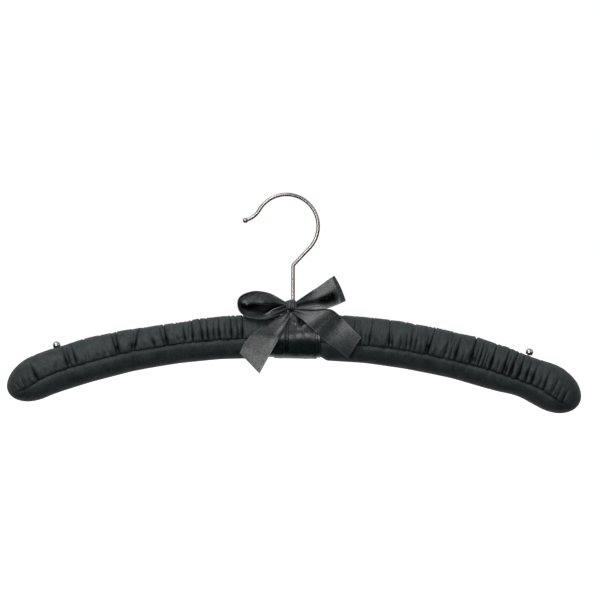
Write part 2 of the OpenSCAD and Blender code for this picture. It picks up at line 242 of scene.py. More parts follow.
def texture(tree, vector, scale, detail=3.0, roughness=0.6):
    node = addNode(tree, "ShaderNodeTexNoise", Scale=scale, Detail=detail, Roughness=roughness)
    tree.links.new(vector, node.inputs["Vector"])
    return node.outputs["Fac"]


def spread(tree, value, low, high, start=0.0, end=1.0):
    node = addNode(tree, "ShaderNodeMapRange")
    for key, number in (("From Min", start), ("From Max", end), ("To Min", low), ("To Max", high)):
        node.inputs[key].default_value = number
    tree.links.new(value, node.inputs["Value"])
    return node.outputs["Result"]


def combine(tree, operation, first, second):
    node = addNode(tree, "ShaderNodeMath", operation=operation)
    for socket, value in zip(node.inputs, (first, second)):
        if isinstance(value, float):
            socket.default_value = value
        else:
            tree.links.new(value, socket)
    return node.outputs["Value"]


def weighted(tree, *parts):
    # the sum of textures, each given with its share
    total = None
    for value, share in parts:
        term = value if share == 1 else combine(tree, "MULTIPLY", value, share)
        total = term if total is None else combine(tree, "ADD", total, term)
    return total


def colourBy(tree, shader, tone, stops):
    tree.links.new(colourRamp(tree, tone, stops), shader.inputs["Base Color"])


def driveBy(tree, shader, socket, tone, ends, start=0.0, end=1.0):
    tree.links.new(spread(tree, tone, ends[0], ends[1], start, end), shader.inputs[socket])


def bumpFrom(tree, shader, height, distance, strength=0.4):
    bump = addNode(tree, "ShaderNodeBump", Strength=strength, Distance=distance)
    tree.links.new(height, bump.inputs["Height"])
    tree.links.new(bump.outputs["Normal"], shader.inputs["Normal"])


def coverCloth(look):
    # dull-faced satin: threads run round the arm, with soft cloudy wear, and painted shade darkens it in its
    # folds
    material, tree, shader = newMaterial("coverSatin")
    uv = addNode(tree, "ShaderNodeUVMap", uv_map="cloth").outputs["UV"]
    threads = texture(tree, mapped(tree, uv, look["threads"]), 1.0)
    cross = texture(tree, mapped(tree, uv, look["crossThreads"]), 1.0)
    clouds = texture(tree, uv, look["clouds"], detail=4.0)
    weave = weighted(tree, (threads, 1), (cross, 0.5))
    slubs = texture(tree, mapped(tree, uv, look["slubs"]), 1.0, detail=4.0, roughness=0.7)
    tone = weighted(tree, (weave, 0.25), (clouds, 0.6), (slubs, 0.7))
    # painted shade: the deeper the cloth lies in a fold, the darker its colour
    fold = addNode(tree, "ShaderNodeAttribute", attribute_name="paintedFoldShade").outputs["Fac"]
    tone = combine(tree, "SUBTRACT", tone, spread(tree, fold, 0.0, look["foldShade"], 0.3 * mm, 1.6 * mm))
    colourBy(tree, shader, tone, [(0.2, look["deep"]), (0.6, look["dark"]), (1.05, look["light"])])
    driveBy(tree, shader, "Roughness", tone, look["gloss"], 0.6, 1.05)
    bumpFrom(tree, shader, weighted(tree, (weave, 1), (slubs, 1)), look["bump"])
    shader.inputs["Sheen Weight"].default_value = look["sheen"]
    shader.inputs["Sheen Roughness"].default_value = 0.5
    shader.inputs["Specular IOR Level"].default_value = look["specular"]
    return material


def ribbonCloth(look):
    # bright satin: its long threads stretch the shine across the ribbon, and its two edges are woven tighter
    material, tree, shader = newMaterial("ribbonSatin")
    uv = addNode(tree, "ShaderNodeUVMap", uv_map="cloth").outputs["UV"]
    threads = texture(tree, mapped(tree, uv, look["threads"]), 1.0)
    specks = texture(tree, uv, look["specks"], detail=2.0)
    clouds = texture(tree, uv, look["clouds"])
    rim = addNode(tree, "ShaderNodeAttribute", attribute_name="fromEdge").outputs["Fac"]
    selvedge = spread(tree, rim, 1.0, 0.0, look["selvedge"] * 0.6, look["selvedge"])
    tone = combine(tree, "SUBTRACT", weighted(tree, (threads, 0.45), (specks, 0.8)), 0.18)
    tone = weighted(tree, (tone, 1), (clouds, 0.35), (selvedge, 0.3))
    # painted shade: the colour darkens by the shade laid in each fold and hollow
    fold = addNode(tree, "ShaderNodeAttribute", attribute_name="paintedFoldShade").outputs["Fac"]
    shade = spread(tree, fold, 0.0, look["foldShade"], 0.3 * mm, 2 * mm)
    tone = combine(tree, "SUBTRACT", tone, shade)
    colourBy(tree, shader, tone, [(0.0, look["deep"]), (0.5, look["dark"]), (0.8, look["light"])])
    driveBy(tree, shader, "Roughness", tone, look["gloss"], 0.45, 0.85)
    driveBy(tree, shader, "Specular IOR Level", tone, look["shine"], 0.0, 0.8)
    relief = weighted(tree, (threads, 1), (selvedge, 1), (specks, look["pebble"]))
    bumpFrom(tree, shader, relief, look["bump"])
    shader.inputs["IOR"].default_value = look["ior"]
    tangent = addNode(tree, "ShaderNodeTangent", direction_type="UV_MAP", uv_map="cloth")
    tree.links.new(tangent.outputs["Tangent"], shader.inputs["Tangent"])
    shader.inputs["Anisotropic"].default_value = look["stretch"]
    shader.inputs["Anisotropic Rotation"].default_value = 0.25
    shader.inputs["Sheen Weight"].default_value = look["sheen"]
    shader.inputs["Sheen Roughness"].default_value = 0.4
    return material


def beechWood(look):
    material, tree, shader = newMaterial("beechWood")
    coords = addNode(tree, "ShaderNodeTexCoord").outputs["Object"]
    grain = texture(tree, mapped(tree, coords, look["grain"]), 1.0, detail=5.0)
    flecks = texture(tree, mapped(tree, coords, look["flecks"]), 1.0)
    tone = weighted(tree, (grain, 1), (flecks, 0.25))
    colourBy(tree, shader, tone, [(0.4, look["dark"]), (0.85, look["light"])])
    driveBy(tree, shader, "Roughness", tone, (0.5, 0.75))
    bumpFrom(tree, shader, tone, look["bump"])
    return material


def looseFibre(look):
    material, tree, shader = newMaterial("polyesterWadding")
    coords = addNode(tree, "ShaderNodeTexCoord").outputs["Object"]
    strands = texture(tree, mapped(tree, coords, look["strands"]), 1.0, detail=6.0, roughness=0.7)
    tufts = texture(tree, coords, look["tufts"], detail=4.0)
    tone = weighted(tree, (strands, 0.6), (tufts, 0.4))
    colourBy(tree, shader, tone, [(0.35, look["dark"]), (0.65, look["light"])])
    driveBy(tree, shader, "Roughness", tone, (0.85, 1.0))
    bumpFrom(tree, shader, tone, look["bump"], strength=0.8)
    shader.inputs["Sheen Weight"].default_value = 0.4
    return material


def sewingThread(look):
    material, tree, shader = newMaterial("sewingThread")
    coords = addNode(tree, "ShaderNodeTexCoord").outputs["Object"]
    plies = addNode(tree, "ShaderNodeTexWave", Scale=look["plies"], Distortion=1.5,
                    bands_direction="DIAGONAL")
    tree.links.new(coords, plies.inputs["Vector"])
    fluff = texture(tree, coords, look["fluff"])
    tone = weighted(tree, (plies.outputs["Fac"], 0.7), (fluff, 0.3))
    colourBy(tree, shader, tone, [(0.2, look["dark"]), (0.9, look["light"])])
    driveBy(tree, shader, "Roughness", tone, (0.6, 0.85))
    bumpFrom(tree, shader, tone, look["bump"])
    return material


def polishedMetal(name, colour, roughness, grainScale, bumpDepth):
    material, tree, shader = newMaterial(name)
    coords = addNode(tree, "ShaderNodeTexCoord").outputs["Object"]
    grain = texture(tree, coords, grainScale, detail=4.0, roughness=0.65)
    tarnish = texture(tree, coords, 60.0, roughness=0.5)
    darker = tuple(c * 0.72 for c in colour[:3]) + (1,)
    colourBy(tree, shader, tarnish, [(0.3, darker), (0.62, colour)])
    driveBy(tree, shader, "Roughness", grain, (roughness * 0.75, roughness * 1.35))
    bump = addNode(tree, "ShaderNodeBump", Strength=0.3, Distance=bumpDepth)
    rounded = addNode(tree, "ShaderNodeBevel", samples=8, Radius=0.7 * mm)      # evens out the facets
    tree.links.new(grain, bump.inputs["Height"])
    tree.links.new(rounded.outputs["Normal"], bump.inputs["Normal"])
    tree.links.new(bump.outputs["Normal"], shader.inputs["Normal"])
    shader.inputs["Metallic"].default_value = 1.0
    return material


coverSatin = coverCloth({
    "deep": (0.0012, 0.002, 0.002, 1), "dark": (0.009, 0.0135, 0.0135, 1), "light": (0.05, 0.065, 0.064, 1),
    "foldShade": 0.75,
    "threads": (6500, 260, 1), "crossThreads": (900, 2600, 1), "slubs": (900, 220, 1), "clouds": 110.0,
    "gloss": (0.62, 0.5), "bump": 0.00016, "sheen": 0.03, "specular": 0.25,
})
ribbonSatin = ribbonCloth({
    "deep": (0.001, 0.0015, 0.0015, 1), "dark": (0.0025, 0.0055, 0.0057, 1),
    "light": (0.021, 0.0305, 0.0312, 1),
    "foldShade": 0.62, "shine": (0.0, 1.0),
    "threads": (260, 3200, 1), "specks": 850.0, "clouds": 120.0, "selvedge": 0.0009,
    "pebble": 1.2, "ior": 1.52,
    "gloss": (0.42, 0.28), "bump": 0.00014, "stretch": 0.8, "sheen": 0.03,
})
woodBeech = beechWood({
    "dark": (0.36, 0.2, 0.1, 1), "light": (0.62, 0.42, 0.24, 1),
    "grain": (12, 260, 260), "flecks": (200, 1400, 900), "bump": 0.0001,
})
wadding = looseFibre({
    "dark": (0.62, 0.61, 0.57, 1), "light": (0.88, 0.87, 0.83, 1),
    "strands": (250, 1500, 1500), "tufts": 160.0, "bump": 0.0004,
})
blackThread = sewingThread({
    "dark": (0.004, 0.005, 0.005, 1), "light": (0.02, 0.024, 0.024, 1),
    "plies": 900.0, "fluff": 4000.0, "bump": 0.00005,
})
hookNickel = polishedMetal("hookNickel", (0.48, 0.425, 0.39, 1), 0.22, 4000, 0.000004)
fittingSteel = polishedMetal("fittingSteel", (0.42, 0.41, 0.4, 1), 0.38, 1100, 0.00004)
studChrome = polishedMetal("studChrome", (0.72, 0.66, 0.64, 1), 0.12, 700, 0.00002)
bushBrass = polishedMetal("bushBrass", (0.72, 0.52, 0.24, 1), 0.28, 800, 0.00003)


# ---- covers

# each crease on the front: place along the arm, how far it climbs (0.5 is the top of the arm), depth,
# half width, and how far it leans towards the tip on its way up, all lengths in millimetres
frontCreases = {
    "left": [
        (37.5, 0.75, 2.2, 0.9, 0), (41, 0.5, 1.6, 0.6, 1), (45.5, 0.8, 2.2, 0.8, 0.5),
        (50, 0.4, 1.2, 0.6, 0), (54, 0.62, 2.0, 0.8, 0.5), (58.5, 0.45, 1.5, 0.6, 0),
        (63, 0.7, 2.2, 0.8, 1), (67, 0.85, 2.6, 0.9, 1.5), (74.5, 0.72, 2.3, 0.9, 0),
        (77, 0.4, 1.3, 0.6, 0), (80.5, 0.55, 1.8, 0.8, 0.5), (86, 0.16, 1.0, 0.7, 0),
        (93.5, 0.9, 2.8, 0.9, 1.5), (96, 0.6, 1.6, 0.6, 3), (103, 0.2, 2.2, 1.1, 3),
        (110, 0.1, 1.2, 0.9, 0), (118, 0.62, 2.3, 0.9, -6), (120.5, 0.16, 2.4, 1.1, -3),
        (129.5, 0.9, 2.6, 0.8, 0), (132, 0.55, 2.0, 0.7, 1), (137, 0.1, 1.0, 0.7, 0),
        (141, 0.13, 1.0, 0.8, 1), (146, 0.1, 1.2, 0.8, 0), (153, 0.12, 0.9, 0.8, 0),
        (162.5, 0.5, 2.2, 0.8, 1.5), (166.5, 0.42, 1.8, 0.7, 2), (169.5, 0.55, 2.2, 0.8, 2),
        (178, 0.14, 0.9, 0.9, 0), (186, 0.12, 1.0, 0.8, 0), (194, 0.34, 2.6, 1.1, 3),
        (200, 0.12, 1.2, 0.9, 1), (205, 0.22, 1.5, 1.0, 2), (209, 0.18, 1.3, 0.8, 2),
        (213, 0.2, 1.2, 0.8, 1),
    ],
    "right": [
        (36, 0.6, 1.8, 0.9, 0), (44, 0.55, 1.6, 0.8, 2), (50, 0.22, 1.6, 0.9, 0),
        (53.5, 0.16, 1.6, 0.8, 0), (56.5, 0.75, 2.0, 0.6, 2.5), (63, 0.12, 1.0, 0.7, 0),
        (72, 0.85, 2.4, 0.7, -1.5), (74.5, 0.2, 1.8, 0.9, -3), (80.5, 0.22, 1.4, 0.8, 0.5),
        (84, 0.26, 1.4, 0.7, 0), (88, 0.58, 1.7, 0.8, -0.5), (91.5, 0.3, 1.7, 0.7, 0.5),
        (96, 0.14, 1.1, 0.7, 1), (99, 0.3, 1.9, 0.8, 2), (101, 0.92, 2.8, 0.8, 3),
        (107, 0.12, 1.0, 0.8, 0), (113.5, 0.3, 2.0, 0.9, 1), (118, 0.2, 1.6, 1.0, 1),
        (122, 0.5, 2.3, 1.0, 1.5), (128, 0.14, 1.2, 0.8, 0), (134, 0.95, 3.2, 1.2, 0),
        (137, 0.3, 2.0, 0.8, 1), (140, 0.5, 2.2, 0.8, 1), (143, 0.42, 1.8, 0.6, 1),
        (145.5, 0.3, 1.7, 0.6, 1), (149, 0.62, 2.6, 1.0, 1), (154, 0.2, 1.4, 0.8, 1),
        (159, 0.6, 2.6, 1.0, 1), (161.5, 0.3, 1.8, 0.7, 1.5), (165, 0.6, 3.0, 1.2, 2),
        (171, 0.52, 2.6, 1.1, 1), (177, 0.5, 2.3, 1.1, 0), (182.5, 0.3, 2.8, 1.0, 0.5),
        (188, 0.2, 1.4, 1.0, 1), (192, 0.3, 1.8, 1.3, 1), (199, 0.28, 1.6, 1.5, 2),
        (204, 0.2, 1.5, 1.1, 0), (209, 0.2, 1.8, 1.1, 1),
    ],
}
# where the padding is thin: place, half length, how much is missing above and below, in millimetres
thinPadding = {"left": ((96, 30, 1.9, 0.3),), "right": ((176, 13, 1.3, 2.0),)}
gathers = {
    "pillow": 0.5 * mm,
    "sharpness": 0.62,
    "ripple": 0.12 * mm,
    "tuckEvery": 3.4 * mm,
    "tuckDepth": 0.55 * mm,
    "seamDip": 1.0 * mm,
    "deepest": 2.9 * mm,
    "tall": 0.38,            # creases that climb past this share part one pillow from the next
}
cover = {"thickness": 0.4 * mm, "columns": 620, "plainColumns": 200, "rows": 56, "plainRows": 44,
         "pulls": 46}


def thinness(side, s, below=False):
    total = 0
    for at, half, above, beneath in thinPadding[side]:
        total += (beneath if below else above) * mm * hump(s / mm, at, half)
    return total


def backCreases(rng):
    # the back is gathered in the same way, at places of its own
    found, s = [], 34.0
    while s < 212:
        kind = rng.random()
        reach = rng.uniform(0.5, 0.9) if kind < 0.35 else rng.uniform(0.1, 0.35)
        found.append((s, reach, rng.uniform(1.2, 2.6), rng.uniform(0.6, 1.0), rng.uniform(-1, 2)))
        s += rng.choice((2.8, 3.6, 4.5, 6.5, 9.0))
    return found


def gatherRelief(side):
    rng = random.Random(11 if side == "left" else 23)
    creases = []
    for back, rows in ((False, frontCreases[side]), (True, backCreases(rng))):
        for at, reach, depth, width, lean in rows:
            creases.append({"s": at * mm, "reach": reach, "depth": depth * mm, "width": width * mm,
                            "lean": lean * mm * 2, "back": back, "bend": rng.uniform(-0.7, 0.7) * mm,
                            "phase": rng.uniform(0, 6.28)})
        s = 24 * mm
        while s < armLength[side] - 5 * mm:
            s += gathers["tuckEvery"] * rng.uniform(0.4, 1.6)
            creases.append({"s": s, "reach": rng.uniform(0.04, 0.13),
                            "depth": gathers["tuckDepth"] * rng.uniform(0.4, 1.5),
                            "width": rng.uniform(0.4, 0.8) * mm, "lean": rng.uniform(-4, 4) * mm,
                            "back": back, "bend": 0, "phase": 0})
    cells = {}
    for crease in creases:
        for cell in range(int(crease["s"] / (5 * mm)) - 2, int(crease["s"] / (5 * mm)) + 3):
            cells.setdefault(cell, []).append(crease)
    tall = {}
    for back in (False, True):
        tall[back] = sorted(c["s"] for c in creases if c["back"] == back and c["reach"] > gathers["tall"])

    def pillow(s, back):
        before = max([p for p in tall[back] if p <= s], default=26 * mm)
        after = min([p for p in tall[back] if p > s], default=armLength[side] + 6 * mm)
        t = min(max((s - before) / max(after - before, 0.1 * mm), 0), 1)
        return gathers["pillow"] * min((after - before) / (9 * mm), 1.3) * (4 * t * (1 - t)) ** 0.35

    def relief(s, v):
        height = mix(pillow(s, False), pillow(s, True), smooth(v * 1.6 - 0.3))
        for crease in cells.get(int(s / (5 * mm)), []):
            e = 1 - v if crease["back"] else v
            if e >= crease["reach"]:
                continue
            climb = e / crease["reach"]
            pocket = math.exp(-(((e - 0.08) / 0.09) ** 2))
            strength = (1 - climb ** 2) * (0.45 + 0.55 * smooth(e / 0.06)) + 0.55 * pocket
            width = gathers["sharpness"] * crease["width"] * (0.75 + 1.3 * pocket)
            bend = crease["bend"] * math.sin(6 * e + crease["phase"])
            d = abs(s - crease["s"] - crease["lean"] * e - bend)
            if d < 8 * width:
                height -= crease["depth"] * strength * math.exp(-((d / width) ** 1.2))
                height += 0.14 * crease["depth"] * strength * hump(d, 3 * width, 1.5 * width)      # its lip
        edge = min(v, 1 - v)
        height = max(height, -gathers["deepest"])
        height *= mix(0.55, 1, smooth(edge / 0.12))
        height -= gathers["seamDip"] * (1 - smooth(edge / 0.035))
        height += gathers["ripple"] * noise.noise(Vector((s * 420, v * 3.5, 4.0 if side == "left" else 9.0)))
        height += 0.45 * mm * noise.noise(Vector((s * 70, v * 2.5, 1.0 if side == "left" else 7.0)))
        height -= thinness(side, s) * math.sin(math.pi * v)
        return height * smooth((s - 19 * mm) / (8 * mm)) * smooth((armLength[side] - s) / (9 * mm))

    return relief


def armStation(side, u, start):
    # even steps along the arm, rounding the tip
    along = armLength[side] - arm["tipLength"] - start
    overTip = arm["tipLength"] * 1.35
    d = u * (along + overTip)
    if d <= along:
        return start + d
    return start + along + arm["tipLength"] * math.sin(math.pi / 2 * (d - along) / overTip)


def gatheredCover(side):
    relief = gatherRelief(side)
    start = 2.5 * mm

    def where(u, v):
        s = armStation(side, u, start)
        seam = seamAngle(side, s)
        return onArm(side, s, relief(s, v), -seam + v * (180 + 2 * seam))

    name = "gatheredCover" + side.capitalize()
    def paintedShade(u, v):
        s = armStation(side, u, start)
        return -relief(s, v) - thinness(side, s) * math.sin(math.pi * v)

    piece = gridSheet(name, cover["columns"], cover["rows"], where, (0.34, 0.052),
                      flip=side == "right", paintedShade=paintedShade)
    thicken(piece, cover["thickness"], offset=-1)
    finish(piece, coverSatin, ["gathered_cover_" + side])
    return piece


def plainCover(side):
    start = 2.5 * mm
    rng = random.Random(31 if side == "left" else 37)
    pulls = [{"s": rng.uniform(26, 215) * mm, "lean": rng.uniform(-9, 9) * mm,
              "depth": rng.uniform(0.1, 0.45) * mm, "width": rng.uniform(1.0, 2.6) * mm,
              "reach": rng.uniform(0.15, 0.45)} for _ in range(cover["pulls"])]

    def where(u, v):
        s = armStation(side, u, start)
        seam = seamAngle(side, s)
        edge = min(v, 1 - v)
        height = -gathers["seamDip"] * (1 - smooth(edge / 0.06)) + 0.3 * mm * math.sin(math.pi * v)
        for pull in pulls:
            d = abs(s - pull["s"] - pull["lean"] * edge)
            if edge < pull["reach"] and d < 8 * mm:
                height -= pull["depth"] * (1 - edge / pull["reach"]) * math.exp(-((d / pull["width"]) ** 2))
        height += 0.4 * mm * noise.noise(Vector((s * 45, v * 2.0, 14.0)))
        height -= thinness(side, s, below=True) * math.sin(math.pi * v)
        height *= smooth((s - 19 * mm) / (8 * mm)) * smooth((armLength[side] - s) / (14 * mm))
        return onArm(side, s, height, 180 + seam + v * (180 - 2 * seam))

    name = "plainCover" + side.capitalize()
    piece = gridSheet(name, cover["plainColumns"], cover["plainRows"], where, (0.215, 0.044),
                      flip=side == "right")
    thicken(piece, cover["thickness"], offset=-1)
    finish(piece, coverSatin, ["plain_cover_" + side])
    return piece


padding = {
    "start": 5 * mm, "stations": 110, "sides": 40, "underCover": 3.5 * mm, "underWaist": 1.2 * mm,
    "roomHalfHeight": 9.2 * mm, "roomHalfDepth": 6.2 * mm, "roomNose": 23 * mm, "lump": 0.15 * mm,
}


def paddingSleeve(side):
    # a sleeve of wadding, with a room inside for the core
    bm = bmesh.new()
    for inside in (False, True):
        made = bmesh.ops.create_grid(bm, x_segments=padding["stations"], y_segments=padding["sides"],
                                     size=0.5)["verts"]
        for vert in made:
            u, v = vert.co.x + 0.5, vert.co.y + 0.5
            vert.co = (paddingRoom if inside else paddingSkin)(side, u, v)
        bmesh.ops.remove_doubles(bm, verts=made, dist=0.02 * mm)
    rings = [edge for edge in bm.edges if edge.is_boundary]
    bmesh.ops.bridge_loops(bm, edges=rings)
    bmesh.ops.recalc_face_normals(bm, faces=bm.faces)
    piece = toPiece(bm, "padding" + side.capitalize())
    finish(piece, wadding, ["padding_" + side])


def paddingSkin(side, u, v):
    s = armStation(side, u, padding["start"])
    under = mix(padding["underWaist"], padding["underCover"], smooth((s - 19 * mm) / (8 * mm)))
    under *= mix(1, 0.75, smooth(1 - (armLength[side] - s) / arm["tipLength"]))
    under += thinness(side, s) * 0.3
    lump = padding["lump"] * (noise.noise(Vector((s * 160, v * 7, 3.0))) - 1)
    lump = lump * smooth(4 * v) * smooth(4 - 4 * v)
    return onArm(side, s, lump - under, 360 * v)


def paddingRoom(side, u, v):
    noseAt = rightLength - padding["roomNose"]
    high, deep = padding["roomHalfHeight"], padding["roomHalfDepth"]
    s = mix(padding["start"], noseAt + high, math.sin(u * math.pi / 2))
    beyond = max(s - noseAt, 0) / high
    high *= math.sqrt(max(0, 1 - beyond * beyond))
    corner = 8 * v % 2 - 1          # eight half sides go round the box
    spot = {0: (1, corner), 1: (-corner, 1), 2: (-1, -corner), 3: (corner, -1)}[int(4 * v) % 4]
    return onMiddle(side, s, spot[0] * deep, spot[1] * high)


seamThread = {"pitch": 2.8 * mm, "length": 2.3 * mm, "width": 0.42 * mm, "out": -0.85 * mm, "from": 27 * mm}


def seamStitches(side):
    bm = bmesh.new()
    for back in (False, True):
        s = seamThread["from"]
        while s < armLength[side] - 1.5 * mm:
            angles = [-seamAngle(side, s), -seamAngle(side, s + mm)]
            if back:
                angles = [180 - angle for angle in angles]
            here = onArm(side, s, seamThread["out"], angles[0])
            ahead = onArm(side, min(s + mm, armLength[side] - 0.2 * mm), seamThread["out"], angles[1])
            turn = (ahead - here).to_track_quat("X", "Z").to_matrix().to_4x4()
            thin = seamThread["width"] / 2
            size = Matrix.Diagonal((seamThread["length"] / 2, thin, thin, 1))
            stand = Matrix.Translation(here) @ turn @ size
            bmesh.ops.create_icosphere(bm, subdivisions=2, radius=1, matrix=stand)
            s += seamThread["pitch"] * (1 if s < armLength[side] - arm["tipLength"] else 0.6)
    piece = toPiece(bm, "seamThread" + side.capitalize())
    finish(piece, blackThread, ["seam_thread_" + side])


for side in ("left", "right"):
    gatheredCover(side)
    plainCover(side)
    paddingSleeve(side)
    seamStitches(side)
print("arms made")


# ---- ribbons round the middle

wrap = {
    "left": -14 * mm, "right": 18 * mm, "out": 1.9 * mm, "thickness": 0.4 * mm, "columns": 220, "rows": 90,
    # folds down the front: across, lean, depth and half width, in millimetres
    "folds": ((-5.2, 0.6, 0.8, 0.5), (-3.4, 0.1, 0.7, 0.45), (2.4, -2.0, 0.4, 0.9), (9.5, -4.5, 0.35, 1.4)),
    "shadedFolds": (-5.2, -3.4, 16.6),
}
underBand = {"left": -19 * mm, "right": 20.5 * mm, "out": 1.05 * mm, "thickness": 0.35 * mm}


def aroundMiddle(x, out, angle):
    point = onArm("right", 0, out, angle) - centre
    return centre + point + armTilt @ Vector((x, 0, 0))


def wrapRelief(x, angle):
    front = smooth(math.cos(math.radians(angle)) * 1.6)
    tent = 5.2 * mm * hump(x / mm, -1.2, 7.5) * hump(angle, 66, 18)
    height = tent
    for at, lean, depth, width in wrap["folds"]:
        d = abs(x / mm - at - lean * math.sin(math.radians(angle)))
        height -= depth * mm * front * math.exp(-d / width)
    height -= 2.8 * mm * hump(x / mm, 5.6, 1.7) * hump(angle, 52, 13)
    puffs = hump(x / mm, 1.6, 3.2) * hump(angle, 44, 10) + hump(x / mm, 11.4, 3.2) * hump(angle, 38, 9)
    height += 0.9 * mm * puffs
    height += 0.25 * mm * noise.noise(Vector((x * 160, angle * 0.03, 2.0)))
    return height


def ribbonWrap():
    def where(u, v):
        angle = -90 + 360 * u
        x = mix(wrap["left"], wrap["right"], v)
        return aroundMiddle(x, wrap["out"] + wrapRelief(x, angle), angle)

    def paintedShade(u, v):
        # painted shade laid over the dent beside the knot and the folds down the front
        angle, x = -90 + 360 * u, mix(wrap["left"], wrap["right"], v) / mm
        deep = 1.2 * hump(x, 5.6, 2.0) * hump(angle, 50, 14)
        for at in wrap["shadedFolds"]:
            deep += 0.9 * math.exp(-abs(x - at) / 0.45) * smooth(math.cos(math.radians(angle)) * 1.6)
        return 1.5 * mm * deep

    piece = gridSheet("ribbonWrap", wrap["columns"], wrap["rows"], where, (0.098, 0.032),
                      closed=True, paintedShade=paintedShade)
    thicken(piece, wrap["thickness"], offset=0)
    finish(piece, ribbonSatin, ["ribbon_wrap"])


def bandBelow():
    def where(u, v):
        angle = -90 + 360 * u
        x = mix(underBand["left"], underBand["right"], v)
        out = underBand["out"] + 0.12 * mm * noise.noise(Vector((x * 200, angle * 0.05, 6.0)))
        return aroundMiddle(x, out, angle)

    piece = gridSheet("underBand", 120, 60, where, (0.096, 0.04), closed=True)
    thicken(piece, underBand["thickness"], offset=0)
    finish(piece, ribbonSatin, ["under_band"])


bandBelow()
ribbonWrap()


# ---- bow: edges in millimetres from the swivel axis, y, and height above the arms' middle line

bow = {"width": 20 * mm, "thickness": 0.3 * mm, "columns": 150, "rows": 50}
bowEdges = {
    "LoopLeft": (
        [(-4, -8, 19.6), (-12, -11, 16.2), (-21.5, -14, 13.8), (-29, -14.2, 14.4), (-36, -13, 16.2),
         (-40.4, -11.6, 20.6), (-41.4, -9.4, 27), (-38.8, -6.8, 31.4), (-33, -5, 34), (-26.6, -4, 34.8),
         (-18, -3.6, 33.2), (-11, -4, 29.6), (-4, -4.8, 25)],
        [(-4, -7.6, 24.6), (-13, -8.8, 21.8), (-20.5, -8, 18.2), (-27, 0, 20), (-32, 3.6, 21.4),
         (-35.4, 6.2, 22.2), (-36.2, 7.4, 22), (-34, 7.8, 19.8), (-30, 7.6, 17.8), (-24, 6.6, 16.6),
         (-17, 4.6, 16.8), (-11, 0.8, 18.8), (-4, -4, 21)]),
    "LoopRight": (
        [(1.6, -7.6, 21.4), (13, -12, 20.9), (24, -14, 21.5), (33, -14.8, 24.5), (37.9, -14.6, 26.8),
         (38.9, -11.2, 27.3), (33, -5.4, 25), (24, -4, 22.6), (13, -4.2, 21.8), (1.8, -5, 22)],
        [(1.6, -6.6, 26.4), (13, -11, 34.2), (22, -12.6, 39.8), (27.6, -13.4, 43.7), (30, -13.2, 45.8),
         (30.5, -10, 46), (27, -6, 43.6), (20, -4.4, 38.6), (12, -4.4, 33), (1.8, -4.6, 26)]),
    "TailLeft": (
        [(-5, -8.6, 20), (-11, -10.8, 14.8), (-18.5, -13.4, 10), (-27.5, -16.2, 5), (-34.2, -17.4, -1.2),
         (-37.4, -17.6, -6.2), (-39.7, -17.6, -11.3)],
        [(-1.8, -9, 18.6), (-4.5, -12.6, 11), (-7.5, -15.6, 5), (-11, -17.4, -1.8), (-15.5, -17.8, -9.8),
         (-20, -17.6, -17.6), (-24.9, -17, -26.6)]),
    "TailRight": (
        [(2, -8.2, 21.6), (12, -10, 21.6), (20, -12, 21.6), (28.4, -13.8, 20.8), (35.4, -15.4, 15.8),
         (43, -16.8, 8.2), (51, -17.4, 0.3)],
        [(-0.6, -9, 18.6), (7, -13.6, 13.2), (12.5, -16.4, 8.4), (18.5, -18.2, 2.4), (25, -18.6, -3.4),
         (32.5, -18.4, -8.8), (40.8, -17.8, -15.6)]),
}
cadOf = {
    "LoopLeft": "bow_loop_left", "LoopRight": "bow_loop_right",
    "TailLeft": "bow_tail_left", "TailRight": "bow_tail_right",
}


def pleats(u, v, phase):
    # small folds where the ribbon is drawn into the knot
    return 0.9 * mm * math.sin(11 * v + phase + 2 * u) * max(0, 1 - u / 0.3) ** 2


def loopLeftFold(u, v):
    # puffed towards the front along its top edge and hollow behind that, with a few soft wrinkles
    over = smooth((u - 0.42) / 0.22) * smooth((1 - u) / 0.22)
    roll = over * (-7.2 * mm * hump(v, 0.3, 0.17) + 1.0 * mm * hump(v, 0.75, 0.2))
    wrinkles = 0.8 * mm * math.sin(9 * v + 16 * u) * (hump(u, 0.36, 0.1) + 0.6 * hump(u, 0.75, 0.2))
    wrinkles *= smooth(v / 0.4)
    return roll + wrinkles + pleats(u, v, 0.5) + pleats(1 - u, v, 2)


def loopRightFold(u, v):
    # a hollow in the front of the loop that runs out towards the knot
    t = 2 * u
    hollow = 2.0 * mm * hump(t, 0.57, 0.12 if t > 0.57 else 0.2) * hump(v, 0.36, 0.19)
    groove = 0.6 * mm * hump(t, 0.35, 0.25) * hump(v, 0.5, 0.15)
    outward = 0.8 * mm * hump(t, 1, 0.1) * math.sin(math.pi * v)
    return hollow + groove + outward + pleats(u, v, 1) + pleats(1 - u, v, 3)


def tailLeftFold(u, v):
    lifted = 0.8 * mm * hump(v, 0.9, 0.12) * hump(u, 0.35, 0.2)
    return pleats(u, v, 1) + 0.7 * mm * math.sin(5 * u + 2 * v) + lifted


def tailRightFold(u, v):
    # one soft fold crosses the tail, with a shadowed hollow before it
    across = u - 0.66 + 0.14 * v
    return pleats(u, v, 0) + 0.2 * mm * hump(across, 0.08, 0.1) - 1.3 * mm * hump(across, -0.09, 0.12)


# painted shade laid over the hollows of the bow


def loopLeftPaintedShade(u, v):
    # painted shade deep inside the loop, fading towards the turn
    inner = smooth((v - 0.42) / 0.12) * smooth((u - 0.34) / 0.12) * (1 - 0.6 * hump(u, 0.52, 0.07))
    return 1.5 * mm * inner * (1 + 0.45 * math.sin(9 * v + 22 * u))


def loopRightPaintedShade(u, v):
    t = 2 * u
    dimple = 2.8 * mm * hump(t, 0.57, 0.13 if t > 0.57 else 0.22) * hump(v, 0.36, 0.19)
    return dimple + 0.8 * mm * hump(t, 0.35, 0.2) * hump(v, 0.45, 0.13)


